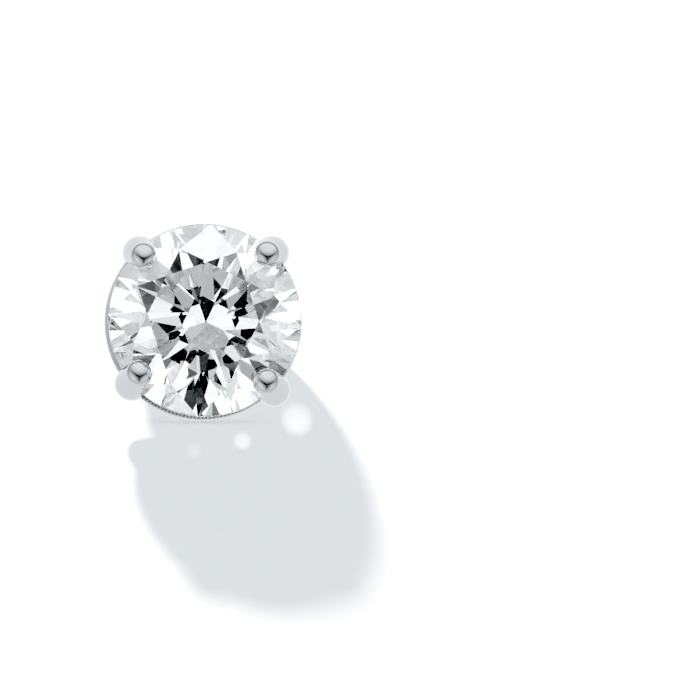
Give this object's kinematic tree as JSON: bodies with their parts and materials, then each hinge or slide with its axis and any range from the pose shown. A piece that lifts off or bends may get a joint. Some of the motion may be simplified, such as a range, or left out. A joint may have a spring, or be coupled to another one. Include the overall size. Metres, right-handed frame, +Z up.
{
  "type": "stud earring",
  "caption": "Stud earring: a round brilliant-cut clear stone held by claws in a wire basket, with a straight post and a friction back.",
  "frame": {"origin": "bottom centre of the bounding box, on the floor that the stud lies on", "axes": "+Z up; the stone's table faces -Y and a little up; the post runs back along +Y and down to the friction back"},
  "size_m": [0.0066, 0.0144, 0.0066],
  "materials": {
    "clear_stone": "polished flat facets",
    "setting_metal": "polished white gold",
    "back_metal": "polished white gold"
  },
  "bodies": {
    "root": {"stone": "clear_stone", "setting": "setting_metal", "clutch": "back_metal"}
  },
  "joints": []
}
